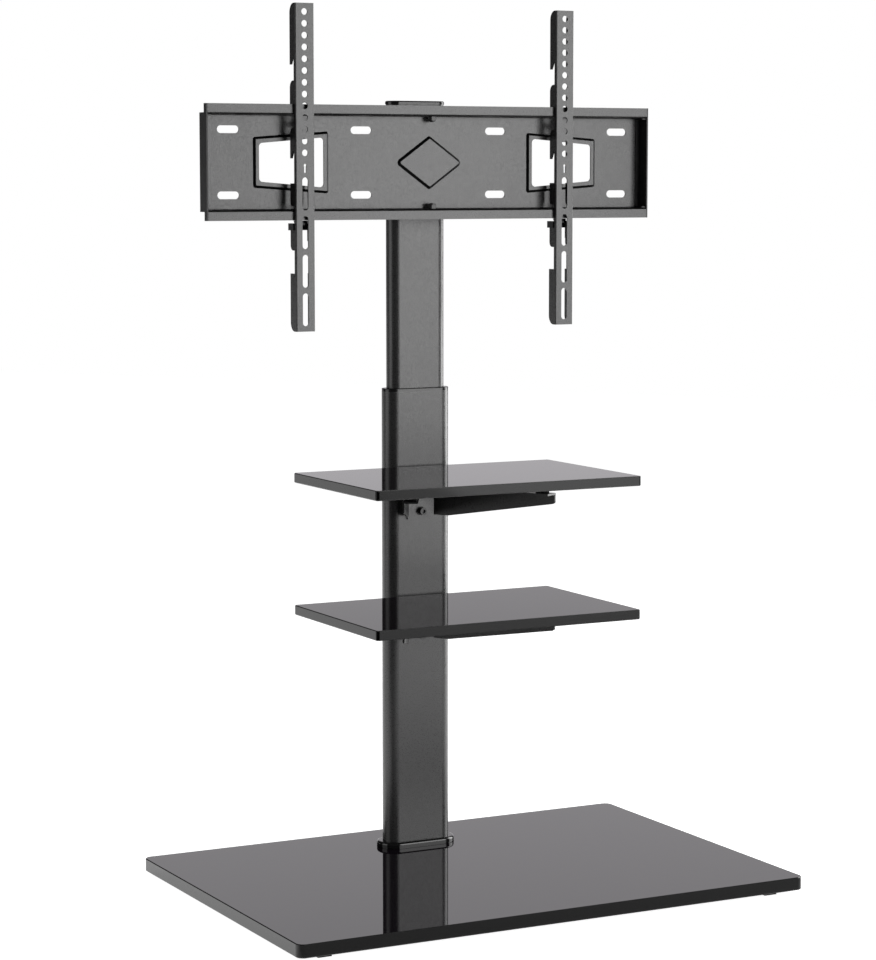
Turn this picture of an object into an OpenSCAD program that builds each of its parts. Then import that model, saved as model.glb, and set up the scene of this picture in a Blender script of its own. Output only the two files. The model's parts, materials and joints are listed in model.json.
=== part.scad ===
/* [Base] */
// Width of the base slab
base_w = 727; // [600:1:900]
// Depth of the base slab
base_d = 500; // [420:1:640]
// Thickness of the base slab
base_t = 17.3; // [12:0.1:25]
// Corner radius of the base slab, seen from above
base_corner_r = 10.5; // [6:0.5:30]
// Chamfer along the edges of the base slab and of the shelves
board_chamfer = 1; // [0.5:0.1:2]
// Width of a square rubber foot
foot_w = 19; // [14:0.5:30]
// Height of a rubber foot
foot_h = 6; // [5.5:0.1:12]
// Distance of the feet's middles from the side edges of the slab
foot_side_inset = 41.8; // [25:0.1:120]
// Distance of the feet's middles from the front and back edges of the slab
foot_end_inset = 25.2; // [22:0.1:80]
// Width of the steel plate under the slab
tie_plate_w = 150; // [110:1:200]
// Depth of the steel plate under the slab
tie_plate_d = 90; // [50:1:150]

/* [Column] */
// Distance from the back edge of the slab to the middle of the column
column_inset = 93.6; // [60:0.1:180]
// Width of the inner tube, a flat oval
inner_w = 83.6; // [76:0.1:110]
// Depth of the inner tube
inner_d = 26; // [24:0.1:36]
// Wall of the inner tube
inner_wall = 2; // [1.5:0.1:3]
// Length of the inner tube
inner_len = 559.5; // [480:0.5:700]
// Length of the inner tube that stands inside the outer tube as shown
tube_overlap = 176.5; // [150:0.5:220]
// Wall of the outer tube
outer_wall = 2; // [1.5:0.1:3]
// Length of the outer tube
outer_len = 623.2; // [560:0.5:760]
// Space between the two tubes at their rounded ends
side_space = 4.7; // [3:0.05:8]
// Space between the two tubes at their flat faces
face_space = 1; // [0.9:0.05:2.5]
// Upward travel of the inner tube from the height shown
raise_travel = 50; // [10:1:50]
// Downward travel of the inner tube from the height shown
lower_travel = 70; // [10:1:90]
// Thickness of the guide ring on top of the outer tube
ring_t = 4.3; // [3:0.1:8]
// Depth of the guide ring's sleeve inside the outer tube
ring_sleeve = 25; // [10:0.5:28]
// Height of the collar round the foot of the column
collar_h = 8; // [5:0.1:15]
// Width of the collar's rim beyond the outer tube
collar_rim = 8; // [5:0.1:15]
// Thickness of the cap on top of the inner tube
cap_t = 4.4; // [3:0.1:8]
// How far the cap stands out past the inner tube
cap_proud = 0.8; // [0.3:0.1:2]

/* [Shelves] */
// Width of a shelf
shelf_w = 385.5; // [300:0.5:460]
// Depth of a shelf
shelf_d = 248; // [200:0.5:290]
// Thickness of a shelf
shelf_t = 13; // [8:0.1:18]
// Corner radius of a shelf, seen from above
shelf_corner_r = 4; // [3:0.5:20]
// Space between the back edge of a shelf and the column
shelf_gap = 8.7; // [2:0.1:20]
// Height of the upper shelf's top face above the floor
upper_shelf_top = 545.9; // [500:0.5:570]
// Height of the lower shelf's top face above the floor
lower_shelf_top = 370.2; // [280:0.5:390]
// Height of the rubber pads under the upper shelf
upper_pad_h = 13.6; // [6:0.1:20]
// Height of the rubber pads under the lower shelf
lower_pad_h = 6.8; // [5:0.1:20]
// Diameter of a rubber pad
pad_d = 18; // [14:0.5:20]
// Thickness of the shelf bracket's sheet
arm_t = 2.5; // [1.5:0.1:3]
// Distance of an arm's tip from the middle
arm_tip_x = 113.2; // [80:0.1:140]
// Reach of an arm's tip in front of the column
arm_reach = 170; // [130:0.5:200]
// Height of an arm at the column
arm_root_h = 41; // [30:0.5:42]
// Height of an arm at its tip
arm_tip_h = 14.4; // [8:0.5:24]
// Length of an arm's level lower edge next to the column
arm_knee = 25; // [12:0.5:60]
// Width of the flange along an arm's top edge
arm_flange_w = 20; // [16:0.5:26]
// Width of the bracket's back plate
back_plate_w = 41; // [30:0.5:50]
// Height of the bracket's back plate
back_plate_h = 46; // [42:0.5:60]

/* [Mount plate] */
// Length of the mount plate's steel section
plate_w = 652; // [560:1:720]
// Height of the mount plate over its lips
plate_h = 149; // [140:0.5:170]
// Depth of the mount plate's section
plate_d = 22.2; // [20:0.1:30]
// Thickness of the mount plate's sheet
plate_t = 2; // [1.5:0.1:2.5]
// Height of a lip
lip_h = 13.7; // [12:0.1:18]
// Outside radius of the bends
bend_r = 3; // [2.6:0.1:5]
// Distance from the inner tube's top down to the plate's middle
plate_drop = 77.6; // [76:0.1:120]
// Length of a slot in the plate's web
web_slot_l = 30.5; // [14:0.5:40]
// Width of a slot in the plate's web
web_slot_w = 9.8; // [6:0.1:12]
// Distance of the inner slots from the middle
inner_slot_x = 100; // [70:0.5:125]
// Distance of the outer slots from the middle
outer_slot_x = 289.5; // [275:0.5:292]
// Distance of the slot rows from the plate's middle line
slot_row = 42.1; // [30:0.1:45]
// Distance from the middle to a window's inner end
window_x = 155.3; // [145:0.5:165]
// Length of a window
window_l = 92.1; // [60:0.5:100]
// Height of a window at its inner end
window_inner_h = 64.7; // [40:0.1:68]
// Height of a window at its outer end
window_outer_h = 49.1; // [30:0.1:64]
// Height of the raised rims and of the diamond above the web
emboss_h = 2.5; // [1:0.1:4]
// Width of the diamond
diamond_w = 101.5; // [60:0.5:110]
// Height of the diamond
diamond_h = 71.5; // [40:0.5:80]
// Thickness of an end cap's wall
end_wall = 2; // [1.5:0.1:4]

/* [Swivel] */
// Distance from the inner tube's front to the pivot axis
pivot_reach = 37.4; // [34:0.1:60]
// Distance of the pivot axis behind the plate's front
pivot_back = 11.4; // [11.2:0.1:13]
// Thickness of the yoke's steel
yoke_t = 4; // [3:0.1:5]
// Thickness of the slip washers
slip_t = 1; // [0.5:0.1:2]

/* [TV brackets] */
// Distance of a bracket's middle from the plate's middle, as shown
bracket_x = 192.9; // [100:0.1:300]
// Width of a bracket
bracket_w = 26.5; // [24:0.1:34]
// Height of a bracket
bracket_h = 421.4; // [415:0.5:480]
// Thickness of a bracket's sheet
bracket_t = 2; // [1.5:0.1:2.4]
// Depth of a bracket's side walls at the hooks and rests
bracket_d = 17.5; // [16:0.1:18.5]
// How much deeper the side walls are at a bracket's foot
foot_rest_extra = 1; // [0.5:0.1:3]
// Depth of a bracket's side walls where the lips pass
shallow_d = 5.5; // [4.5:0.1:7]
// Distance from a bracket's top to the top of its middle hook's notch
hook_drop = 128.4; // [110:0.1:140]
// Distance from one hook to the next
hook_pitch = 60; // [50:0.5:62]
// Length of a hook's finger below the notch
finger_l = 9.7; // [6:0.1:11]
// Diameter of the round screw holes
hole_d = 8.5; // [6:0.1:9]
// Distance from one round hole to the next
hole_pitch = 15; // [12:0.1:15.4]
// Number of round holes
hole_count = 13; // [6:1:13]
// Distance from a bracket's top to the first round hole
first_hole = 11; // [8:0.5:14]
// Number of long slots
slot_count = 4; // [1:1:4]
// Length of a long slot
slot_l = 42.5; // [20:0.5:44]
// Distance from one long slot to the next
slot_pitch = 49.8; // [46:0.1:52]
// Distance from a bracket's foot to its lowest slot
slot_foot = 7.1; // [5:0.1:12]
// Upward travel of a lock bar
lock_travel = 3.6; // [2:0.1:5]
// Height of a lock bar
lock_h = 9; // [7:0.1:12]

/* [Hidden] */
$fn = 64;

// Clearances
over = 1;
run_gap = 0.3;
fit_gap = 0.1;
hole_gap = 0.3;
pivot_gap = 0.05;

// Heights and places of the base and the column
slab_top = foot_h + base_t;
floor_gap = 1.5;
tie_plate_t = foot_h - floor_gap;
tie_plate_r = 6;
foot_corner_r = 1.5;
column_y = base_d / 2 - column_inset;
outer_w = inner_w + 2 * (side_space + outer_wall);
outer_d = inner_d + 2 * (face_space + outer_wall);
outer_top = slab_top + outer_len;
outer_front = column_y - outer_d / 2;
outer_back = column_y + outer_d / 2;
inner_bottom = outer_top - tube_overlap;
inner_top = inner_bottom + inner_len;
inner_front = column_y - inner_d / 2;
inner_back = column_y + inner_d / 2;
inner_flat = inner_w - inner_d;
ring_edge = 1.5;
cap_edge = 2;
cap_plug = 12;
collar_edge = 3.5;
collar_foot = 0.8;

// Screws under the base
base_bolt_d = 6;
base_bolt_rows = 15;
base_bolt_cols = 60;
base_head_d = 11.3;
base_head_h = 3.3;
base_socket = 4;
base_socket_h = 1.8;
foot_block_h = 30;
base_thread = 20;

// Screws of the shelf brackets
m6_d = 6;
m6_head_d = 10;
m6_head_h = 6;
m6_socket = 5;
m6_socket_h = 3;
m6_washer_d = 12;
m6_washer_t = 1.6;
m6_nut = 10;
m6_nut_h = 5;
shelf_bolt_drop = 35.1;
shelf_bolt_pitch = 22;
shelf_bolt_l = 16;
nut_corner = m6_nut / cos(30);
slot_side = 2.2;
front_slot_w = nut_corner + 2 * slot_side;

// Screws that clamp the inner tube at the back
m8_d = 8;
m8_head_d = 13;
m8_head_h = 8;
m8_socket = 6;
m8_socket_h = 4;
m8_washer_d = 16;
m8_washer_t = 1.6;
height_bolt_drop = 41.5;
height_bolt_pitch = 30;
height_nut_t = 6;
height_nut_w = 24;
height_nut_margin = 12;
back_slot_w = m8_d + 2 * hole_gap + 2 * fit_gap;
height_bolt_z = [outer_top - height_bolt_drop, outer_top - height_bolt_drop - height_bolt_pitch];

// Glide shoes at the foot of the inner tube
shoe_h = 30;
shoe_lip = 3;

// Shelves
upper_shelf_z = upper_shelf_top - shelf_t;
lower_shelf_z = lower_shelf_top - shelf_t;
shelf_y = outer_front - shelf_gap - shelf_d / 2;
upper_arm_z = upper_shelf_z - upper_pad_h;
lower_arm_z = lower_shelf_z - lower_pad_h;
arm_root_x = back_plate_w / 2;
arm_run = arm_tip_x - arm_root_x;
arm_l = sqrt(arm_run * arm_run + arm_reach * arm_reach);
arm_angle = atan2(arm_run, arm_reach);
arm_tip_r = 3;
arm_flange_start = 24;
pad_tip_inset = 14.5;
pad_root_share = 0.36;
pad_edge = 1;

// Mount plate
plate_z = inner_top - plate_drop;
pivot_y = inner_front - pivot_reach;
plate_front = pivot_y - pivot_back;
plate_rear = plate_front + plate_d;
web_front = plate_rear - plate_t;
channel_h = plate_h - 2 * lip_h;
flange_out = channel_h / 2 + plate_t;
inner_bend_r = bend_r - plate_t;
window_rim = 4.3;
window_rim_high = 4.7;
window_slope = 3.3;
window_corner_r = 5;
rim_round = 0.3;
rim_corner_r = window_slope + rim_round;
diamond_slope = 3.5;
diamond_side_r = 5.5;
diamond_end_r = 4;
diamond_rise = 2.6;

// End caps
end_skin = 0.3;
end_wing_d = 8;
end_plug_l = 6;
end_plug_t = 1.5;

// Swivel
arm_end_r = pivot_back - plate_t - 3 * run_gap;
yoke_bend_r = 6;
pivot_d = 6;
pivot_head_d = 10.5;
pivot_head_h = 3.3;
pivot_socket = 4;
pivot_socket_h = 1.8;
pivot_nut = 10;
pivot_nut_h = 5;
pivot_nut_neck_d = 9.4;
pivot_nut_neck_h = 1.4;
pivot_tail = 0.8;
slip_d = 16;
yoke_low = flange_out + run_gap + slip_t;
yoke_high = yoke_low + yoke_t;
yoke_bolt_x = 16;
yoke_bolt_z = 40;
yoke_nut_t = 4;
yoke_nut_margin = 12;
yoke_thread = 6;

// TV brackets
bracket_front = plate_front - run_gap - shallow_d;
bracket_top = plate_z + plate_h / 2 + hook_drop + run_gap;
bracket_edge_r = 1.2;
bracket_end_r = 12;
hook_top = 29.8;
hook_r = 9;
finger_tip = 4;
rest_h = 29.2;
rest_gap = 4.6;
rest_r = 5;
lock_rest_h = 25.9;
lock_rest_r = 7;
foot_rest_h = 75;
key_top = 205;
key_l = 12;
key_w = 3;
key_bulb = 4;
lip_low = hook_drop + run_gap + plate_h;
lip_back = shallow_d + plate_t + 2 * run_gap;
foot_rest_d = bracket_d + foot_rest_extra;
lock_seat = lip_low + run_gap + lock_travel + lock_h;
lock_side = 1.6;
lock_back = 3.8;
lock_t = 2;
lock_tongue_w = 14;
lock_leg_l = 14;
lock_leg_t = 1.7;
lock_leg_inset = 2.4;
lip_tab_d = 3.3;
lip_tab_h = 3.5;

// Colours
steel_colour = "#3b3c3f";
gloss_colour = "#141416";
plastic_colour = "#1c1c1e";
rubber_colour = "#101010";
bolt_colour = "#2a2a2c";
zinc_colour = "#9a9ca0";

// Flat oval in plan
module stadium(w, d) {
    square([w - d, d], center = true);
    for (side = [-1, 1])
        translate([side * (w - d) / 2, 0])
            circle(d = d);
}

// Oval ring or disc with the outline's section as its children, on the radius from an end's middle
module stadium_sweep(w, d) {
    for (side = [0, 1])
        rotate([0, 0, side * 180]) {
            translate([(w - d) / 2, 0, 0])
                rotate([0, 0, -90])
                    rotate_extrude(angle = 180)
                        children();
            translate([-(w - d) / 2, 0, 0])
                rotate([90, 0, 90])
                    linear_extrude(height = w - d)
                        children();
        }
}

// Section from radius r_in to r_out, from the height z0 to z1, with a rounded outer top edge
module edge_section(r_in, r_out, z0, z1, edge) {
    translate([r_in, z0])
        square([r_out - r_in, z1 - z0 - edge]);
    translate([r_in, z1 - edge - (z1 - z0 - edge) / 2])
        square([r_out - r_in - edge, edge + (z1 - z0 - edge) / 2]);
    translate([r_out - edge, z1 - edge])
        circle(r = edge);
}

// Rectangle with round corners
module round_rect(w, h, r) {
    square([w - 2 * r, h], center = true);
    square([w, h - 2 * r], center = true);
    for (side = [-1, 1], end = [-1, 1])
        translate([side * (w / 2 - r), end * (h / 2 - r)])
            circle(r = r);
}

// Section of a board's edge, from its middle line outwards
module board_section(half) {
    polygon([[0, 0], [half - board_chamfer, 0], [half, board_chamfer], [half, board_t() - board_chamfer],
        [half - board_chamfer, board_t()], [0, board_t()]]);
}

function board_t() = $board_t;

// Board with round corners in plan and chamfered edges
module board(w, d, t, r) {
    $board_t = t;
    for (side = [0, 1]) {
        rotate([0, 0, side * 180])
            translate([-(w / 2 - r), 0, 0])
                rotate([90, 0, 90])
                    linear_extrude(height = w - 2 * r)
                        board_section(d / 2);
        rotate([0, 0, 90 + side * 180])
            translate([-(d / 2 - r), 0, 0])
                rotate([90, 0, 90])
                    linear_extrude(height = d - 2 * r)
                        board_section(w / 2);
    }
    for (side = [-1, 1], end = [-1, 1])
        translate([side * (w / 2 - r), end * (d / 2 - r), 0])
            rotate_extrude()
                board_section(r);
}

// Places its children's outline in the upright plane that faces the front, back face at y
module upright(y, t) {
    translate([0, y, 0])
        rotate([90, 0, 0])
            linear_extrude(height = t)
                children();
}

// Extrudes its children's side outline along the width, centred
module across(w) {
    translate([-w / 2, 0, 0])
        rotate([90, 0, 90])
            linear_extrude(height = w)
                children();
}

// Corner that is cut off to round it, with the round's centre at its origin
module corner_round(r) {
    difference() {
        square([r + over, r + over]);
        circle(r = r);
    }
}

// Small fillet that fills a square corner at its origin
module corner_fill(r) {
    difference() {
        square([r, r]);
        translate([r, r])
            circle(r = r);
    }
}

function unit(v) = v / norm(v);
function half_angle(p, a, b) = acos(unit(a - p) * unit(b - p)) / 2;
function tangent(p, a, b, r) = p + unit(a - p) * r / tan(half_angle(p, a, b));
function centre(p, a, b, r) = p + unit(unit(a - p) + unit(b - p)) * r / sin(half_angle(p, a, b));
function next(i, n) = (i + 1) % n;
function last(i, n) = (i + n - 1) % n;
function centres(pts, rs) = let(n = len(pts))
    [for (i = [0:n - 1]) centre(pts[i], pts[last(i, n)], pts[next(i, n)], rs[i])];

// Convex outline with each corner rounded by its own radius
module round_outline(pts, rs) {
    n = len(pts);
    c = centres(pts, rs);
    polygon([for (i = [0:n - 1], k = [0, 1])
        k == 0 ? tangent(pts[i], pts[last(i, n)], pts[next(i, n)], rs[i])
               : tangent(pts[i], pts[next(i, n)], pts[last(i, n)], rs[i])]);
    for (i = [0:n - 1])
        translate(c[i])
            circle(r = rs[i]);
}

// Raised field with sloping walls, standing on the plane z = 0 and reaching below it
module raised(pts, rs, slope, rise, below) {
    c = centres(pts, rs);
    hull()
        for (i = [0:len(pts) - 1])
            translate([c[i][0], c[i][1], -below])
                cylinder(h = rise + below, r1 = rs[i] + slope * below / rise, r2 = rs[i] - slope, $fn = 32);
}

// Screw with a round head and a hexagon socket, head top at the origin, shank along +Z
module cap_screw(d, head_d, head_h, socket, socket_h, length) {
    difference() {
        union() {
            cylinder(d = head_d, h = head_h);
            cylinder(d = d, h = head_h + length);
        }
        translate([0, 0, -over])
            cylinder(d = socket / cos(30), h = socket_h + over, $fn = 6);
    }
}

module washer(d, bore, t) {
    difference() {
        cylinder(d = d, h = t);
        translate([0, 0, -over])
            cylinder(d = bore, h = t + 2 * over);
    }
}

module at_base_bolts() {
    for (side = [-1, 1], end = [-1, 1])
        translate([side * base_bolt_cols / 2, column_y + end * base_bolt_rows / 2, 0])
            children();
}

module base_slab() {
    color(gloss_colour)
        difference() {
            translate([0, 0, foot_h])
                board(base_w, base_d, base_t, base_corner_r);
            at_base_bolts()
                translate([0, 0, foot_h - over])
                    cylinder(d = base_bolt_d + 2 * hole_gap, h = base_t + 2 * over);
        }
}

module base_tie_plate() {
    color(steel_colour)
        difference() {
            translate([0, column_y, floor_gap])
                linear_extrude(height = tie_plate_t)
                    round_rect(tie_plate_w, tie_plate_d, tie_plate_r);
            at_base_bolts()
                translate([0, 0, floor_gap - over])
                    cylinder(d = base_bolt_d + 2 * hole_gap, h = tie_plate_t + 2 * over);
            at_base_bolts()
                translate([0, 0, floor_gap])
                    cylinder(d1 = base_head_d + 2 * fit_gap, d2 = base_bolt_d + 2 * fit_gap, h = base_head_h);
            at_base_bolts()
                translate([0, 0, floor_gap - over])
                    cylinder(d = base_head_d + 2 * fit_gap, h = over);
        }
}

module base_feet() {
    color(rubber_colour)
        for (side = [-1, 1], end = [-1, 1])
            translate([side * (base_w / 2 - foot_side_inset), end * (base_d / 2 - foot_end_inset), 0])
                linear_extrude(height = foot_h)
                    round_rect(foot_w, foot_w, foot_corner_r);
}

module base_bolts() {
    color(bolt_colour)
        at_base_bolts()
            translate([0, 0, floor_gap])
                difference() {
                    union() {
                        cylinder(d1 = base_head_d, d2 = base_bolt_d, h = base_head_h);
                        cylinder(d = base_bolt_d, h = slab_top - floor_gap + base_thread);
                    }
                    translate([0, 0, -over])
                        cylinder(d = base_socket / cos(30), h = base_socket_h + over, $fn = 6);
                }
}

module column_foot() {
    color(zinc_colour)
        difference() {
            translate([0, column_y, slab_top])
                linear_extrude(height = foot_block_h)
                    stadium(outer_w - 2 * (outer_wall + fit_gap), outer_d - 2 * (outer_wall + fit_gap));
            at_base_bolts()
                translate([0, 0, slab_top - over])
                    cylinder(d = base_bolt_d + 2 * fit_gap, h = base_thread + 2 * over);
        }
}

// Ring round the foot of the column, with a fine step where it meets the slab
module base_collar() {
    r_in = outer_d / 2 + fit_gap;
    r_out = outer_d / 2 + collar_rim;
    color(plastic_colour)
        translate([0, column_y, slab_top])
            stadium_sweep(outer_w, outer_d) {
                translate([r_in, 0])
                    square([r_out - r_in - collar_foot, 2 * collar_foot]);
                edge_section(r_in, r_out, collar_foot, collar_h, collar_edge);
            }
}

// Heights of the screws of both shelf brackets
function shelf_bolt_zs(arm_z) = [arm_z - shelf_bolt_drop, arm_z - shelf_bolt_drop + shelf_bolt_pitch];
shelf_bolt_z = concat(shelf_bolt_zs(upper_arm_z), shelf_bolt_zs(lower_arm_z));

module outer_column() {
    color(steel_colour)
        difference() {
            translate([0, column_y, slab_top])
                linear_extrude(height = outer_len)
                    difference() {
                        stadium(outer_w, outer_d);
                        stadium(outer_w - 2 * outer_wall, outer_d - 2 * outer_wall);
                    }
            for (z = shelf_bolt_z)
                translate([0, outer_front - over, z])
                    rotate([-90, 0, 0])
                        cylinder(d = m6_d + 2 * hole_gap, h = outer_wall + 2 * over);
            for (z = height_bolt_z)
                translate([0, outer_back - outer_wall - over, z])
                    rotate([-90, 0, 0])
                        cylinder(d = m8_d + 2 * hole_gap, h = outer_wall + 2 * over);
        }
}

module guide_ring() {
    color(plastic_colour)
        translate([0, column_y, 0]) {
            difference() {
                translate([0, 0, outer_top])
                    stadium_sweep(outer_w, outer_d)
                        edge_section(0, outer_d / 2, 0, ring_t, ring_edge);
                translate([0, 0, outer_top - over])
                    linear_extrude(height = ring_t + 2 * over)
                        stadium(inner_w + 2 * run_gap, inner_d + 2 * run_gap);
            }
            translate([0, 0, outer_top - ring_sleeve])
                linear_extrude(height = ring_sleeve)
                    difference() {
                        stadium(outer_w - 2 * (outer_wall + fit_gap), outer_d - 2 * (outer_wall + fit_gap));
                        stadium(inner_w + 2 * run_gap, inner_d + 2 * run_gap);
                    }
        }
}

module at_height_bolts() {
    for (z = height_bolt_z)
        translate([0, 0, z])
            children();
}

module height_bolts() {
    color(bolt_colour)
        at_height_bolts()
            translate([0, outer_back + m8_washer_t + m8_head_h, 0])
                rotate([90, 0, 0])
                    cap_screw(m8_d, m8_head_d, m8_head_h, m8_socket, m8_socket_h,
                        m8_washer_t + outer_wall + face_space + inner_wall + run_gap + height_nut_t);
}

module height_washers() {
    color(bolt_colour)
        at_height_bolts()
            translate([0, outer_back + m8_washer_t, 0])
                rotate([90, 0, 0])
                    washer(m8_washer_d, m8_d + 2 * fit_gap, m8_washer_t);
}

module height_nut_plate() {
    nut_h = height_bolt_pitch + 2 * height_nut_margin;
    color(zinc_colour)
        difference() {
            translate([-height_nut_w / 2, inner_back - inner_wall - run_gap - height_nut_t,
                    height_bolt_z[1] - height_nut_margin])
                cube([height_nut_w, height_nut_t, nut_h]);
            at_height_bolts()
                translate([0, inner_back - inner_wall - run_gap + over, 0])
                    rotate([90, 0, 0])
                        cylinder(d = m8_d + 2 * fit_gap, h = height_nut_t + 2 * over);
        }
}

// Upright slot through a wall, from the height z0 to z1 with round ends
module wall_slot(w, z0, z1, y, t) {
    upright(y, t) {
        translate([-w / 2, z0 + w / 2])
            square([w, z1 - z0 - w]);
        for (z = [z0 + w / 2, z1 - w / 2])
            translate([0, z])
                circle(d = w);
    }
}

module at_yoke_bolts() {
    for (side = [-1, 1], end = [-1, 1])
        translate([side * yoke_bolt_x, 0, plate_z + end * yoke_bolt_z])
            children();
}

module inner_column() {
    slot_top = shelf_bolt_z[1] + front_slot_w / 2 + lower_travel;
    color(steel_colour)
        difference() {
            translate([0, column_y, inner_bottom])
                linear_extrude(height = inner_len)
                    difference() {
                        stadium(inner_w, inner_d);
                        stadium(inner_w - 2 * inner_wall, inner_d - 2 * inner_wall);
                    }
            wall_slot(front_slot_w, inner_bottom - front_slot_w, slot_top,
                inner_front + inner_wall + over, inner_wall + 2 * over);
            wall_slot(back_slot_w, height_bolt_z[1] - raise_travel - back_slot_w / 2,
                height_bolt_z[0] + lower_travel + back_slot_w / 2, inner_back + over, inner_wall + 2 * over);
            at_yoke_bolts()
                translate([0, inner_front - over, 0])
                    rotate([-90, 0, 0])
                        cylinder(d = m6_d + 2 * hole_gap, h = inner_wall + 2 * over);
        }
}

module glide_shoes() {
    gap_front = front_slot_w;
    color(plastic_colour)
        difference() {
            translate([0, column_y, inner_bottom - shoe_lip])
                difference() {
                    linear_extrude(height = shoe_h + shoe_lip)
                        stadium(outer_w - 2 * (outer_wall + run_gap), outer_d - 2 * (outer_wall + run_gap));
                    translate([0, 0, shoe_lip])
                        linear_extrude(height = shoe_h + over)
                            stadium(inner_w + 2 * fit_gap, inner_d + 2 * fit_gap);
                    translate([0, 0, -over])
                        linear_extrude(height = shoe_lip + 2 * over)
                            stadium(inner_w - 2 * inner_wall, inner_d - 2 * inner_wall);
                }
            translate([-gap_front / 2, column_y - outer_d, inner_bottom - shoe_lip - over])
                cube([gap_front, 2 * outer_d, shoe_h + shoe_lip + 2 * over]);
        }
}

module column_cap() {
    color(plastic_colour)
        translate([0, column_y, inner_top]) {
            stadium_sweep(inner_w, inner_d)
                edge_section(0, inner_d / 2 + cap_proud, 0, cap_t, cap_edge);
            translate([0, 0, -cap_plug])
                linear_extrude(height = cap_plug)
                    stadium(inner_w - 2 * (inner_wall + fit_gap), inner_d - 2 * (inner_wall + fit_gap));
        }
}

module swivel_yoke() {
    web_y = inner_front - yoke_t;
    color(steel_colour)
        difference() {
            translate([0, 0, plate_z])
                intersection() {
                    across(inner_flat)
                        difference() {
                            translate([pivot_y - arm_end_r, -yoke_high])
                                square([inner_front - pivot_y + arm_end_r, 2 * yoke_high]);
                            translate([pivot_y - arm_end_r - over, -yoke_low])
                                square([web_y - pivot_y + arm_end_r + over, 2 * yoke_low]);
                            for (side = [0, 1])
                                mirror([0, side])
                                    translate([inner_front - yoke_bend_r, yoke_high - yoke_bend_r])
                                        corner_round(yoke_bend_r);
                        }
                    translate([0, 0, -yoke_high - over])
                        linear_extrude(height = 2 * (yoke_high + over)) {
                            polygon([[-arm_end_r, pivot_y], [arm_end_r, pivot_y], [inner_flat / 2, web_y],
                                [inner_flat / 2, inner_front + over], [-inner_flat / 2, inner_front + over],
                                [-inner_flat / 2, web_y]]);
                            translate([0, pivot_y])
                                circle(r = arm_end_r);
                        }
                }
            translate([0, pivot_y, plate_z - yoke_high - over])
                cylinder(d = pivot_d + 2 * fit_gap, h = 2 * (yoke_high + over));
            at_yoke_bolts()
                translate([0, web_y - over, 0])
                    rotate([-90, 0, 0])
                        cylinder(d = m6_d + 2 * hole_gap, h = yoke_t + 2 * over);
        }
}

module yoke_bolts() {
    color(bolt_colour)
        at_yoke_bolts()
            translate([0, inner_front - yoke_t - pivot_head_h, 0])
                rotate([-90, 0, 0])
                    cap_screw(m6_d, pivot_head_d, pivot_head_h, pivot_socket, pivot_socket_h,
                        yoke_t + inner_wall + yoke_thread);
}

module yoke_nut_plate() {
    nut_h = 2 * (yoke_bolt_z + yoke_nut_margin);
    nut_w = 2 * (yoke_bolt_x + yoke_nut_margin) - yoke_nut_t;
    color(zinc_colour)
        difference() {
            translate([-nut_w / 2, inner_front + inner_wall, plate_z - nut_h / 2])
                cube([nut_w, yoke_nut_t, nut_h]);
            at_yoke_bolts()
                translate([0, inner_front + inner_wall - over, 0])
                    rotate([-90, 0, 0])
                        cylinder(d = m6_d + 2 * fit_gap, h = yoke_nut_t + 2 * over);
        }
}

// Places its children at the upper pivot and, turned over, at the lower one
module at_pivots() {
    for (side = [0, 1])
        translate([0, pivot_y, plate_z])
            rotate([side * 180, 0, 0])
                children();
}

module pivot_bolts() {
    nut_end = channel_h / 2 - run_gap - pivot_nut_h - pivot_nut_neck_h - pivot_tail;
    color(bolt_colour)
        at_pivots()
            translate([0, 0, yoke_high + pivot_head_h])
                rotate([180, 0, 0])
                    cap_screw(pivot_d, pivot_head_d, pivot_head_h, pivot_socket, pivot_socket_h,
                        yoke_high - nut_end);
}

module slip_washers() {
    color(plastic_colour)
        at_pivots()
            translate([0, 0, flange_out + run_gap])
                washer(slip_d, pivot_d + 2 * fit_gap, slip_t);
}

module pivot_nuts() {
    color(bolt_colour)
        at_pivots()
            translate([0, 0, channel_h / 2 - run_gap - pivot_nut_h])
                difference() {
                    union() {
                        cylinder(d = pivot_nut / cos(30), h = pivot_nut_h, $fn = 6);
                        translate([0, 0, -pivot_nut_neck_h])
                            cylinder(d = pivot_nut_neck_d, h = pivot_nut_neck_h);
                    }
                    translate([0, 0, -pivot_nut_neck_h - over])
                        cylinder(d = pivot_d + 2 * fit_gap, h = pivot_nut_h + pivot_nut_neck_h + 2 * over);
                }
}

// Upper half of the plate's section: half the web, the flange and the lip
module half_section() {
    difference() {
        union() {
            translate([plate_front, 0])
                square([plate_d, flange_out]);
            translate([plate_front, channel_h / 2])
                square([plate_t, lip_h]);
            translate([plate_front + plate_t, flange_out])
                corner_fill(inner_bend_r);
        }
        translate([plate_front - over, -over])
            square([plate_d - plate_t + over - inner_bend_r, channel_h / 2 + over]);
        translate([plate_front - over, -over])
            square([plate_d - plate_t + over, channel_h / 2 + over - inner_bend_r]);
        translate([web_front - inner_bend_r, channel_h / 2 - inner_bend_r])
            circle(r = inner_bend_r);
        translate([plate_rear - bend_r, flange_out - bend_r])
            corner_round(bend_r);
        translate([plate_front + bend_r, channel_h / 2 + bend_r])
            rotate([0, 0, 180])
                difference() {
                    square([bend_r, bend_r]);
                    circle(r = bend_r);
                }
    }
}

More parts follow.
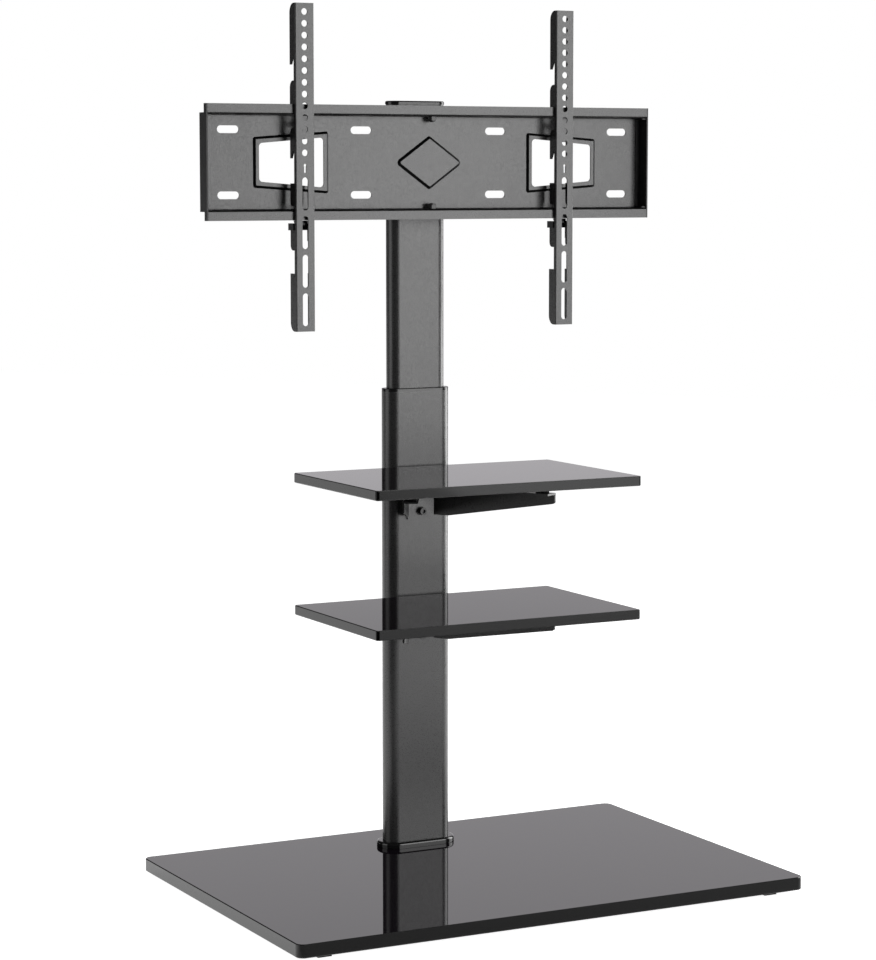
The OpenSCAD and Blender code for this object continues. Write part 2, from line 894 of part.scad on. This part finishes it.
// Corners of a window, grown by one margin at its ends and by another at its top and bottom
function window_points(end_rim, high_rim) = [
    [window_x - end_rim, window_inner_h / 2 + high_rim],
    [window_x + window_l + end_rim, window_outer_h / 2 + high_rim],
    [window_x + window_l + end_rim, -window_outer_h / 2 - high_rim],
    [window_x - end_rim, -window_inner_h / 2 - high_rim]];
rim_points = window_points(window_rim + window_slope, window_rim_high + window_slope);
window_radii = [for (i = [0:3]) window_corner_r];
rim_radii = [for (i = [0:3]) rim_corner_r];
diamond_points = [[-diamond_w / 2, 0], [0, diamond_h / 2], [diamond_w / 2, 0], [0, -diamond_h / 2]];
diamond_radii = [diamond_side_r, diamond_end_r, diamond_side_r, diamond_end_r];

module web_slots() {
    for (side = [-1, 1], x = [inner_slot_x, outer_slot_x], row = [-1, 1])
        translate([side * x, row * slot_row])
            stadium(web_slot_l, web_slot_w);
}

module mount_plate() {
    color(steel_colour)
        translate([0, 0, plate_z])
            difference() {
                union() {
                    across(plate_w)
                        for (side = [0, 1])
                            mirror([0, side])
                                half_section();
                    translate([0, web_front, 0])
                        rotate([90, 0, 0]) {
                            raised(diamond_points, diamond_radii, diamond_slope, diamond_rise, plate_t / 2);
                            for (side = [0, 1])
                                mirror([side, 0, 0])
                                    raised(rim_points, rim_radii, window_slope, emboss_h, plate_t / 2);
                        }
                }
                translate([0, plate_rear, 0])
                    rotate([90, 0, 0]) {
                        raised(diamond_points, diamond_radii, diamond_slope, diamond_rise, plate_t / 2);
                        for (side = [0, 1])
                            mirror([side, 0, 0])
                                raised(rim_points, rim_radii, window_slope, emboss_h, plate_t / 2);
                    }
                upright(plate_rear + over, plate_d + 2 * over) {
                    web_slots();
                    for (side = [0, 1])
                        mirror([side, 0])
                            round_outline(window_points(0, 0), window_radii);
                }
                for (side = [0, 1])
                    mirror([0, 0, side])
                        translate([0, pivot_y, channel_h / 2 - over])
                            cylinder(d = pivot_d + 2 * pivot_gap, h = plate_t + 2 * over);
            }
}

// End cap with its wall on the plate's right end
module end_cap() {
    wall_h = channel_h + 2 * (plate_t + end_skin);
    plug_h = channel_h - 2 * fit_gap;
    color(plastic_colour)
        translate([plate_w / 2, 0, plate_z]) {
            translate([0, plate_front, -wall_h / 2])
                cube([end_wall, plate_d, wall_h]);
            translate([0, plate_front, -plate_h / 2])
                cube([end_wall, end_wing_d, plate_h]);
            difference() {
                translate([-end_plug_l, plate_front + plate_t, -plug_h / 2])
                    cube([end_plug_l + end_wall / 2, plate_d - 2 * plate_t - fit_gap, plug_h]);
                translate([-end_plug_l - over, plate_front, -plug_h / 2 + end_plug_t])
                    cube([end_plug_l + over, plate_d - plate_t - fit_gap - end_plug_t,
                        plug_h - 2 * end_plug_t]);
                for (side = [0, 1])
                    mirror([0, 0, side])
                        translate([-end_plug_l - over, 0, 0])
                            rotate([90, 0, 90])
                                linear_extrude(height = end_plug_l + over)
                                    translate([web_front - fit_gap - bend_r, plug_h / 2 - bend_r])
                                        corner_round(bend_r);
            }
        }
}

module end_cap_left() {
    mirror([1, 0, 0])
        end_cap();
}

module end_cap_right() {
    end_cap();
}

// Deep part of a side wall between two distances from the bracket's top
module wall_block(depth, top, bottom, r_top, r_bottom) {
    difference() {
        translate([0, -bottom])
            square([depth, bottom - top]);
        if (r_top > 0)
            translate([depth - r_top, -top - r_top])
                corner_round(r_top);
        if (r_bottom > 0)
            translate([depth - r_bottom, -bottom + r_bottom])
                mirror([0, 1])
                    corner_round(r_bottom);
    }
}

// Deep part with a hook: a notch for the lip, closed behind by a finger
module wall_hook(top, notch, r_top) {
    difference() {
        wall_block(bracket_d, top, notch + finger_l, r_top, 0);
        polygon([[shallow_d, -notch], [lip_back, -notch], [bracket_d - finger_tip, -notch - finger_l],
            [bracket_d - finger_tip, -notch - finger_l - over], [shallow_d, -notch - finger_l - over]]);
    }
}

// Side view of the bracket: front strip with a small tab under the lip, hooks, rests and foot
module wall_outline() {
    lip_rest = lip_low - lip_h - rest_gap;
    tab_top = -lip_low - run_gap;
    polygon([[0, 0], [0, -bracket_h], [shallow_d, -bracket_h], [shallow_d, tab_top - lip_tab_h],
        [shallow_d + lip_tab_d, tab_top], [shallow_d, tab_top], [shallow_d, 0]]);
    wall_hook(0, hook_drop - hook_pitch, bracket_end_r);
    wall_hook(hook_drop - hook_top, hook_drop, hook_r);
    wall_hook(hook_drop + hook_pitch - hook_top, hook_drop + hook_pitch, hook_r);
    wall_block(bracket_d, lip_rest - rest_h, lip_rest, 0, rest_r);
    wall_block(bracket_d, lock_seat, lock_seat + lock_rest_h, 0, lock_rest_r);
    wall_block(foot_rest_d, bracket_h - foot_rest_h, bracket_h, 0, bracket_end_r);
}

// Channel section seen from above, front edges rounded
module channel_section() {
    difference() {
        translate([-bracket_w / 2, 0])
            square([bracket_w, foot_rest_d]);
        translate([-bracket_w / 2 + bracket_t, bracket_t])
            square([bracket_w - 2 * bracket_t, foot_rest_d]);
        for (side = [0, 1])
            mirror([side, 0])
                translate([bracket_w / 2 - bracket_edge_r, bracket_edge_r])
                    mirror([0, 1])
                        corner_round(bracket_edge_r);
    }
}

// Openings in the bracket's front face
module face_holes() {
    for (i = [0:hole_count - 1])
        translate([0, -first_hole - i * hole_pitch])
            circle(d = hole_d);
    translate([0, -key_top - key_bulb / 2])
        circle(d = key_bulb);
    translate([-key_w / 2, -key_top - key_l + key_w / 2])
        square([key_w, key_l - key_w / 2 - key_bulb / 2]);
    translate([0, -key_top - key_l + key_w / 2])
        circle(d = key_w);
    for (i = [0:slot_count - 1])
        translate([0, -bracket_h + slot_foot + slot_l / 2 + i * slot_pitch])
            rotate([0, 0, 90])
                stadium(slot_l, hole_d);
}

module tv_bracket(side) {
    color(steel_colour)
        translate([side * bracket_x, bracket_front, bracket_top])
            difference() {
                intersection() {
                    translate([0, 0, -bracket_h])
                        linear_extrude(height = bracket_h)
                            channel_section();
                    across(bracket_w + 2 * over)
                        wall_outline();
                }
                upright(bracket_t + over, bracket_t + 2 * over)
                    face_holes();
            }
}

module tv_bracket_left() {
    tv_bracket(-1);
}

module tv_bracket_right() {
    tv_bracket(1);
}

// Bar that rests on the side walls and slides up, its tongue behind the lower lip
module lock_bar(side) {
    bar_w = bracket_w + 2 * lock_side;
    front = shallow_d + run_gap;
    back = bracket_d + lock_back;
    hollow_w = bracket_w - 2 * bracket_t;
    leg_x = hollow_w / 2 - run_gap;
    cheek_t = (bar_w - hollow_w) / 2;
    notch_w = bracket_t + 2 * run_gap;
    color(steel_colour)
        translate([side * bracket_x, bracket_front, bracket_top - lock_seat]) {
            difference() {
                union() {
                    across(bar_w)
                        polygon([[front, lock_h - lock_t], [back - lock_t, lock_h - lock_t],
                            [back - lock_t, 0], [back, 0], [back, lock_h], [front, lock_h]]);
                    for (end = [-1, 1])
                        translate([end * (bar_w + hollow_w) / 4 - cheek_t / 2, front, 0])
                            cube([cheek_t, back - front - lock_t / 2, lock_h - lock_t / 2]);
                }
                for (end = [-1, 1])
                    translate([end * (leg_x + notch_w / 2) - notch_w / 2, front - over,
                            lock_h - lip_tab_h - run_gap])
                        cube([notch_w, lip_tab_d + run_gap + over, lip_tab_h + run_gap + over]);
            }
            translate([-lock_tongue_w / 2, lip_back, lock_h - lock_t / 2])
                cube([lock_tongue_w, lock_t, lock_travel + lock_t / 2]);
            for (end = [-1, 1])
                translate([end * (leg_x - lock_leg_t / 2) - lock_leg_t / 2, front + lock_leg_inset,
                        -lock_leg_l])
                    cube([lock_leg_t, bracket_d - front - 2 * lock_leg_inset,
                        lock_leg_l + lock_h - lock_t / 2]);
        }
}

module lock_bar_left() {
    lock_bar(-1);
}

module lock_bar_right() {
    lock_bar(1);
}

module shelf(z) {
    color(gloss_colour)
        translate([0, shelf_y, z])
            board(shelf_w, shelf_d, shelf_t, shelf_corner_r);
}

module upper_shelf() {
    shelf(upper_shelf_z);
}

module lower_shelf() {
    shelf(lower_shelf_z);
}

// Places its children at the root of the right arm, with +X along the arm, and mirrored for the left one
module along_arms(z) {
    for (side = [0, 1])
        mirror([side, 0, 0])
            translate([arm_root_x, outer_front, z])
                rotate([0, 0, arm_angle - 90])
                    children();
}

// Bracket under a shelf: back plate on the column, two arms in a V and a flange along each arm
module shelf_bracket(z) {
    color(steel_colour)
        difference() {
            union() {
                translate([-back_plate_w / 2, outer_front - arm_t, z - back_plate_h])
                    cube([back_plate_w, arm_t, back_plate_h]);
                intersection() {
                    along_arms(z) {
                        rotate([90, 0, 0])
                            linear_extrude(height = arm_t)
                                difference() {
                                    polygon([[-arm_t, 0], [-arm_t, -arm_root_h], [arm_knee, -arm_root_h],
                                        [arm_l, -arm_tip_h], [arm_l, 0]]);
                                    translate([arm_l - arm_tip_r, -arm_tip_h + arm_tip_r])
                                        mirror([0, 1])
                                            corner_round(arm_tip_r);
                                }
                        translate([arm_flange_start, -arm_flange_w, -arm_t])
                            cube([arm_l - arm_flange_start, arm_flange_w, arm_t]);
                    }
                    translate([-2 * arm_tip_x, outer_front - 2 * arm_reach, z - back_plate_h])
                        cube([4 * arm_tip_x, 2 * arm_reach, 2 * back_plate_h]);
                }
            }
            for (bolt_z = shelf_bolt_zs(z))
                translate([0, outer_front - arm_t - over, bolt_z])
                    rotate([-90, 0, 0])
                        cylinder(d = m6_d + 2 * hole_gap, h = arm_t + 2 * over);
        }
}

module upper_shelf_bracket() {
    shelf_bracket(upper_arm_z);
}

module lower_shelf_bracket() {
    shelf_bracket(lower_arm_z);
}

module shelf_pads(z, h) {
    color(rubber_colour)
        along_arms(z)
            for (x = [arm_l - pad_tip_inset, arm_l * pad_root_share])
                translate([x, -arm_flange_w / 2, 0])
                    rotate_extrude()
                        polygon([[0, 0], [pad_d / 2, 0], [pad_d / 2, h - pad_edge],
                            [pad_d / 2 - pad_edge, h], [0, h]]);
}

module upper_shelf_pads() {
    shelf_pads(upper_arm_z, upper_pad_h);
}

module lower_shelf_pads() {
    shelf_pads(lower_arm_z, lower_pad_h);
}

module at_shelf_bolts() {
    for (z = shelf_bolt_z)
        translate([0, outer_front, z])
            rotate([-90, 0, 0])
                children();
}

module shelf_bolts() {
    color(bolt_colour)
        at_shelf_bolts()
            translate([0, 0, -arm_t - m6_washer_t - m6_head_h])
                cap_screw(m6_d, m6_head_d, m6_head_h, m6_socket, m6_socket_h, shelf_bolt_l);
}

module shelf_washers() {
    color(bolt_colour)
        at_shelf_bolts()
            translate([0, 0, -arm_t - m6_washer_t])
                washer(m6_washer_d, m6_d + 2 * fit_gap, m6_washer_t);
}

module shelf_nuts() {
    color(zinc_colour)
        at_shelf_bolts()
            translate([0, 0, outer_wall])
                difference() {
                    cylinder(d = nut_corner, h = m6_nut_h, $fn = 6);
                    translate([0, 0, -over])
                        cylinder(d = m6_d + 2 * fit_gap, h = m6_nut_h + 2 * over);
                }
}

base_slab();
base_tie_plate();
base_feet();
base_bolts();
column_foot();
base_collar();
outer_column();
guide_ring();
height_bolts();
height_washers();
height_nut_plate();
inner_column();
glide_shoes();
column_cap();
swivel_yoke();
yoke_bolts();
yoke_nut_plate();
pivot_bolts();
slip_washers();
pivot_nuts();
mount_plate();
end_cap_left();
end_cap_right();
tv_bracket_left();
tv_bracket_right();
lock_bar_left();
lock_bar_right();
upper_shelf();
lower_shelf();
upper_shelf_bracket();
lower_shelf_bracket();
upper_shelf_pads();
lower_shelf_pads();
shelf_bolts();
shelf_washers();
shelf_nuts();
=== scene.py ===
"""Television stand with a swivelling mount: materials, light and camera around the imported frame."""
import json
import math

import bpy
from mathutils import Matrix, Vector

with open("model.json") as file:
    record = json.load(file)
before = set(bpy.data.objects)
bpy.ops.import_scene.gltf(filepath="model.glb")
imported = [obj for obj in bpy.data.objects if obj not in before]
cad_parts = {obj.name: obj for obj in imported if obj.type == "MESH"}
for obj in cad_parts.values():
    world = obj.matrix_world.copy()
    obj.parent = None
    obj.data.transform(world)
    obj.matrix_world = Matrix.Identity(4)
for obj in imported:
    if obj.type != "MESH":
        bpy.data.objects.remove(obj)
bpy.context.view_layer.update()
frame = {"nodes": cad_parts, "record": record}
nodes = frame["nodes"]


# Node trees. Noise scales are in cycles per metre, and bump distances in metres

NOISE_LOW, NOISE_HIGH = 0.3, 0.7        # most of a noise's values lie between these
WHITE = (1, 1, 1, 1)


class Nodes:
    """A short way to write a node tree."""

    def __init__(self, tree):
        self.tree = tree
        tree.nodes.clear()

    def add(self, kind, inputs=(), **props):
        """Adds a node. An input is either another node's socket or a plain value."""
        node = self.tree.nodes.new(kind)
        for name, value in props.items():
            setattr(node, name, value)
        for key, value in dict(inputs).items():
            if isinstance(value, bpy.types.NodeSocket):
                self.tree.links.new(value, node.inputs[key])
            else:
                node.inputs[key].default_value = value
        return node

    def math(self, op, a, b=0.0):
        return self.add("ShaderNodeMath", {0: a, 1: b}, operation=op).outputs[0]

    def place(self):
        """The object's own coordinates, in metres."""
        return self.add("ShaderNodeTexCoord").outputs["Object"]

    def axis(self, vector, name):
        return self.add("ShaderNodeSeparateXYZ", {"Vector": vector}).outputs[name]

    def stretched(self, coord, along_z):
        """Coordinates on which a noise is pressed together along Z."""
        return self.add("ShaderNodeMapping", {"Vector": coord, "Scale": (1.0, 1.0, along_z)}).outputs[0]

    def noise(self, coord, scale, detail=2.0, rough=0.5):
        node = self.add("ShaderNodeTexNoise", {"Vector": coord, "Scale": scale, "Detail": detail,
                                               "Roughness": rough})
        return node.outputs["Fac"]

    def ramp(self, fac, dark, light, low=NOISE_LOW, high=NOISE_HIGH):
        """A colour that goes from dark to light as fac goes from low to high."""
        node = self.add("ShaderNodeValToRGB", {"Fac": fac})
        for element, at, colour in zip(node.color_ramp.elements, (low, high), (dark, light)):
            element.position = at
            element.color = (*colour, 1.0)
        return node.outputs["Color"]

    def span(self, value, low, high, to_low, to_high):
        """Value, moved from the range low to high into the range to_low to to_high."""
        node = self.add("ShaderNodeMapRange", {"Value": value, "From Min": low, "From Max": high,
                                               "To Min": to_low, "To Max": to_high})
        return node.outputs["Result"]

    def spread(self, noise, to_low, to_high):
        return self.span(noise, NOISE_LOW, NOISE_HIGH, to_low, to_high)

    def mix(self, factor, a, b, **props):
        return self.add("ShaderNodeMix", {"Factor": factor, "A": a, "B": b}, **props).outputs["Result"]

    def surface(self, shader):
        """Makes a shader the material's surface."""
        out = self.add("ShaderNodeOutputMaterial")
        self.tree.links.new(shader.outputs[0], out.inputs["Surface"])

    def principled(self, colour, roughness, height, strength, distance, more):
        """Makes the surface a Principled shader with a bump. More gives its other sockets by name."""
        bump = self.add("ShaderNodeBump", {"Height": height, "Strength": strength, "Distance": distance})
        self.surface(self.add("ShaderNodeBsdfPrincipled", {
            "Base Color": colour, "Roughness": roughness, "Normal": bump.outputs["Normal"], **more}))


def material(name):
    mat = bpy.data.materials.new(name)
    mat.use_nodes = True
    return mat, Nodes(mat.node_tree)


def grey(value):
    return (value, value, value)


def greys(value, share):
    """Two greys, darker and lighter than value by a share of it."""
    return grey(value * (1 - share)), grey(value * (1 + share))


# Materials

# Faces whose normal's Y lies between these two get painted shade in powder_coat
SLOPE_LOW, SLOPE_HIGH = 0.2, 0.96       # a normal's Y on the pressed slopes, between side and front faces
SIDE_UP, FLAT_UP = 0.5, 0.95            # a normal's Z: less on a slab's sides, more on its flat faces
GLASS_DARK = (0.005, 0.003, 0.0055)
GLASS_LIGHT = (0.007, 0.004, 0.0075)
TOP_ROUGHNESS = (0.012, 0.030)
SIDE_ROUGHNESS = (0.11, 0.18)
POLISH_ROUGHNESS, POLISH_IOR = 0.05, 1.3


def powder_coat(name, dark, light, rough, specular, slope_shade=1.0):
    """Fine-grained powder coat: a speckled colour, uneven roughness and a fine orange peel.

    On pressed slopes, bends and corners the colour and the shine are multiplied by the last argument:
    painted shade that darkens them and dims their reflection."""
    mat, n = material(name)
    coord = n.place()
    speck = n.noise(coord, scale=1400.0, detail=3.0, rough=0.65)
    cloud = n.noise(coord, scale=9.0)
    tone = n.math("ADD", n.math("MULTIPLY", speck, 0.8), n.math("MULTIPLY", cloud, 0.2))
    colour = n.ramp(tone, grey(dark), grey(light), low=0.36, high=0.64)
    roughness = n.spread(n.noise(coord, scale=700.0), rough - 0.06, rough + 0.08)
    peel = n.noise(coord, scale=900.0)
    more = {"Specular IOR Level": specular}
    if slope_shade < 1:
        # Painted shade: faces that are neither front nor side faces get a darker colour and a dimmer
        # reflection
        front = n.math("ABSOLUTE", n.axis(n.add("ShaderNodeTexCoord").outputs["Normal"], "Y"))
        painted_shade_mask = n.math("MULTIPLY", n.math("LESS_THAN", front, SLOPE_HIGH),
                         n.math("GREATER_THAN", front, SLOPE_LOW))
        shade = n.span(painted_shade_mask, 0.0, 1.0, 1.0, slope_shade)
        tint = n.add("ShaderNodeVectorMath", {0: colour, "Scale": shade}, operation="SCALE")
        colour = tint.outputs["Vector"]
        more["Specular Tint"] = shade
    n.principled(colour, roughness, height=peel, strength=0.22, distance=0.00012, more=more)
    return mat


def black_glass(name, specular, edge, bevel, top_polish, edge_polish):
    """Opaque black polished slab with mirror-like flat faces and satin sides.

    edge is the grey of its sides and bevel that of its chamfer, both set for each slab: the sides' grey is
    partly the ground glass's own and partly painted light, and the chamfer's lighter grey is a painted
    highlight. top_polish and edge_polish are how much clear polish lies on the flat faces and on the sides,
    from 0 to 1."""
    mat, n = material(name)
    coord = n.place()
    slant = n.math("ABSOLUTE", n.axis(n.add("ShaderNodeNewGeometry").outputs["Normal"], "Z"))
    side = n.math("LESS_THAN", slant, SIDE_UP)
    on_bevel = n.math("MULTIPLY", n.math("GREATER_THAN", slant, SIDE_UP),
                      n.math("LESS_THAN", slant, FLAT_UP))
    haze = n.noise(coord, scale=14.0, detail=3.0, rough=0.6)
    streaks = n.noise(n.stretched(coord, 4.0), scale=260.0)
    gloss = n.spread(haze, *TOP_ROUGHNESS)
    ground = n.spread(streaks, *SIDE_ROUGHNESS)
    top = n.ramp(haze, GLASS_DARK, GLASS_LIGHT)
    rim = n.ramp(streaks, *greys(edge, 0.2), low=0.35, high=0.65)
    # Painted highlight: the chamfer's grey is lighter than the sides'
    painted_bevel_highlight = n.ramp(streaks, *greys(bevel, 0.2))
    colour = n.mix(side, top, rim, data_type="RGBA")
    colour = n.mix(on_bevel, colour, painted_bevel_highlight, data_type="RGBA")
    n.principled(colour, n.mix(side, gloss, ground), height=streaks, strength=0.04, distance=0.00005,
                 more={"Specular IOR Level": specular,
                       "Coat Weight": n.span(side, 0.0, 1.0, top_polish, edge_polish),
                       "Coat Roughness": POLISH_ROUGHNESS, "Coat IOR": POLISH_IOR})
    return mat


def moulded(name, value, rough, grain_scale, strength, specular=0.5):
    """Moulded black plastic or rubber with a fine grain."""
    mat, n = material(name)
    coord = n.place()
    grain = n.noise(coord, grain_scale, detail=3.0, rough=0.6)
    colour = n.ramp(n.noise(coord, scale=40.0), *greys(value, 0.15))
    roughness = n.spread(grain, rough - 0.05, rough + 0.07)
    n.principled(colour, roughness, height=grain, strength=strength, distance=0.00015,
                 more={"Specular IOR Level": specular})
    return mat


def metal(name, value, rough, scale):
    """Bare or blackened steel with fine turning marks."""
    mat, n = material(name)
    marks = n.noise(n.stretched(n.place(), 6.0), scale, detail=3.0, rough=0.6)
    colour = n.ramp(marks, *greys(value, 0.2))
    roughness = n.spread(marks, rough - 0.06, rough + 0.10)
    n.principled(colour, roughness, height=marks, strength=0.12, distance=0.0001, more={"Metallic": 1.0})
    return mat


# The shelf brackets' coat, with painted shade on its slanted faces to darken the arms under the shelves
arm_coat = powder_coat("powder_coat_arms", dark=0.022, light=0.042, rough=0.30, specular=0.75, slope_shade=0.45)
# A darker copy of the powder coat for the lock bars: painted shade, for the shadow inside the brackets'
# channels
shaded_coat = powder_coat("powder_coat_painted_shade", dark=0.010, light=0.020, rough=0.36, specular=0.45)

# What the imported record's material slots are made of, and the nodes that have a finish of their own
finishes = {
    "powder_coat": powder_coat("powder_coat", dark=0.022, light=0.042, rough=0.30, specular=0.75),
    "gloss_trim": moulded("gloss_trim", 0.012, rough=0.16, grain_scale=300.0, strength=0.05),
    "black_plastic": moulded("black_plastic", 0.016, rough=0.42, grain_scale=1100.0, strength=0.25),
    "black_rubber": moulded("black_rubber", 0.005, rough=0.70, grain_scale=1600.0, strength=0.4,
                            specular=0.10),
    "black_oxide": metal("black_oxide", 0.05, rough=0.30, scale=900.0),
    "zinc_steel": metal("zinc_steel", 0.62, rough=0.36, scale=700.0)}
own = {
    "base_collar": moulded("gloss_collar", 0.008, rough=0.09, grain_scale=300.0, strength=0.04,
                           specular=0.60),
    # The slabs' side and chamfer greys differ from slab to slab to paint the light that each one catches
    "base_slab": black_glass("black_glass_base", specular=0.38, edge=0.006, bevel=0.03,
                             top_polish=0.0, edge_polish=0.1),
    "upper_shelf": black_glass("black_glass_upper", specular=0.04, edge=0.003, bevel=0.12,
                               top_polish=0.34, edge_polish=0.75),
    "lower_shelf": black_glass("black_glass_lower", specular=0.03, edge=0.001, bevel=0.07,
                               top_polish=0.19, edge_polish=0.82),
    # The plate's coat, with dark painted shade on the slopes round its pressed diamond and windows
    "mount_plate": powder_coat("powder_coat_plate", dark=0.022, light=0.042, rough=0.30,
                               specular=0.75, slope_shade=0.12),
    "upper_shelf_bracket": arm_coat, "lower_shelf_bracket": arm_coat,
    "lock_bar_left": shaded_coat, "lock_bar_right": shaded_coat}

for part in frame["record"]["subparts"]:
    mat = own.get(part["node"]) or finishes[part["material_slot"]]
    for slot in nodes[part["node"]].material_slots:
        slot.material = mat


# Floor: a pale sheet. In the gloss it shows a dark band of painted shade before the base and bright floor
# beyond the band, and it ends just in front of the view, so that the dark room past it shows there too

FLOOR_WIDTH, FLOOR_DEPTH = 9, 12
FLOOR_CENTRE = (1.555, 3.73, 0)
FLOOR_TURN = 36.2                       # degrees
FLOOR_COLOUR = (0.86, 0.86, 0.86, 1)
# The floor's glow as the camera sees it, where 1 is white. With the lamps' light on top it clips to
# white everywhere, so that the floor doesn't show the stand's shadow
CAMERA_GLOW = 0.95
PAINTED_SHADE_GLOW, BACK_GLOW, FRONT_GLOW = 0.05, 1.25, 1.20     # of the floor as the gloss sees it
BAND_BACK = (-0.28, -0.22)              # the floor's Y, where the band turns into the bright floor behind
BAND_FRONT = (-1.10, -0.55)             # the floor's Y, where the bright floor in front turns into the band


def floor_material():
    mat, n = material("floor_white")
    path = n.add("ShaderNodeLightPath")
    y = n.axis(n.add("ShaderNodeNewGeometry").outputs["Position"], "Y")
    # Painted shade: a dark band on the floor just before the base, seen only in reflections
    mirrored = n.math("MAXIMUM", n.span(y, *BAND_BACK, PAINTED_SHADE_GLOW, BACK_GLOW),
                      n.span(y, *BAND_FRONT, FRONT_GLOW, PAINTED_SHADE_GLOW))
    glow = n.math("MAXIMUM", n.math("MULTIPLY", path.outputs["Is Camera Ray"], CAMERA_GLOW),
                  n.math("MULTIPLY", path.outputs["Is Glossy Ray"], mirrored))
    diffuse = n.add("ShaderNodeBsdfDiffuse", {"Color": FLOOR_COLOUR})
    lift = n.add("ShaderNodeEmission", {"Color": WHITE, "Strength": glow})
    n.surface(n.add("ShaderNodeAddShader", {0: diffuse.outputs[0], 1: lift.outputs[0]}))
    return mat


bpy.ops.mesh.primitive_plane_add(size=FLOOR_WIDTH, location=FLOOR_CENTRE,
                                 rotation=(0, 0, math.radians(FLOOR_TURN)))
floor = bpy.context.object
floor.scale.y = FLOOR_DEPTH / FLOOR_WIDTH
floor.name = "floor"
floor.data.materials.append(floor_material())


# Light: a dim room with a bright wall behind, a tall key at the front right, panels at both sides

ROOM_GLOW, WALL_GLOW = 0.05, 0.76
WALL_DIRECTION = (0.489, 0.847, 0.208)  # a unit vector to the middle of the bright wall
WALL_EDGE = (0.86, 0.95)                # cosines of the angles from there, where the room turns into wall
ROOM_TINT = (1.0, 0.972, 1.008, 1)
LAMP_DISTANCE = 3.2                     # metres from the stand's axis
CEILING, KEY_FOOT, SIDE_FOOT, SKIRT_FOOT = 2.1, 0.24, 0.02, 0.01    # heights of the panels' edges

scene = bpy.context.scene


def light_room():
    """The room as the object sees it. The camera sees plain white, also through clear pieces."""
    world = bpy.data.worlds.new("studio")
    scene.world = world
    world.use_nodes = True
    w = Nodes(world.node_tree)
    direction = w.add("ShaderNodeTexCoord").outputs["Generated"]
    behind = w.add("ShaderNodeVectorMath", {0: direction, 1: WALL_DIRECTION}, operation="DOT_PRODUCT")
    wall = w.span(behind.outputs["Value"], *WALL_EDGE, ROOM_GLOW, WALL_GLOW)
    path = w.add("ShaderNodeLightPath")
    seen = w.math("MAXIMUM", path.outputs["Is Camera Ray"], path.outputs["Is Transmission Ray"])
    back = w.add("ShaderNodeBackground", {"Color": w.mix(seen, ROOM_TINT, WHITE, data_type="RGBA"),
                                          "Strength": w.mix(seen, wall, 1.0)})
    out = w.add("ShaderNodeOutputWorld")
    world.node_tree.links.new(back.outputs[0], out.inputs["Surface"])


def softbox(name, azimuth, low, high, width, radiance):
    """Upright panel that faces the stand, at an azimuth from the back towards the right."""
    light = bpy.data.lights.new(name, "AREA")
    light.shape = "RECTANGLE"
    light.size = width
    light.size_y = high - low
    light.energy = radiance * math.pi * light.size * light.size_y
    obj = bpy.data.objects.new(name, light)
    scene.collection.objects.link(obj)
    turn = math.radians(azimuth)
    at = Vector((LAMP_DISTANCE * math.sin(turn), LAMP_DISTANCE * math.cos(turn), (low + high) / 2))
    obj.location = at
    obj.rotation_euler = Vector((-at.x, -at.y, 0)).to_track_quat("-Z", "Z").to_euler()
    obj.visible_camera = False


light_room()
softbox("key", azimuth=152, low=KEY_FOOT, high=CEILING, width=1.6, radiance=4.5)
softbox("key_skirt", azimuth=152, low=SKIRT_FOOT, high=KEY_FOOT, width=1.6, radiance=2.2)
softbox("right_panel", azimuth=93, low=SIDE_FOOT, high=CEILING, width=4.0, radiance=6.0)
softbox("left_panel", azimuth=276, low=SIDE_FOOT, high=CEILING, width=2.4, radiance=1.3)


# Camera, as fitted to the photograph

CAMERA_ANGLES = (6.0890, 27.5091, -0.0187)      # degrees down, to the right and of roll
CAMERA_PLACE = (-1.7517, -3.2746, 0.9353)
LENS, SENSOR = 107.125, 36                      # millimetres
VIEW_END = 50                                   # metres

pitch, yaw, roll = (math.radians(angle) for angle in CAMERA_ANGLES)
look = Vector((math.sin(yaw) * math.cos(pitch), math.cos(yaw) * math.cos(pitch), -math.sin(pitch)))
level_right = Vector((math.cos(yaw), -math.sin(yaw), 0))
level_up = level_right.cross(look)
right = math.cos(roll) * level_right + math.sin(roll) * level_up
up = -math.sin(roll) * level_right + math.cos(roll) * level_up
camera = bpy.data.objects.new("camera", bpy.data.cameras.new("camera"))
camera.data.lens = LENS
camera.data.sensor_width = SENSOR
camera.data.clip_end = VIEW_END
turn = Matrix((right, up, -look)).transposed().to_4x4()
camera.matrix_world = Matrix.Translation(CAMERA_PLACE) @ turn
scene.collection.objects.link(camera)
scene.camera = camera
scene.view_settings.view_transform = "Standard"
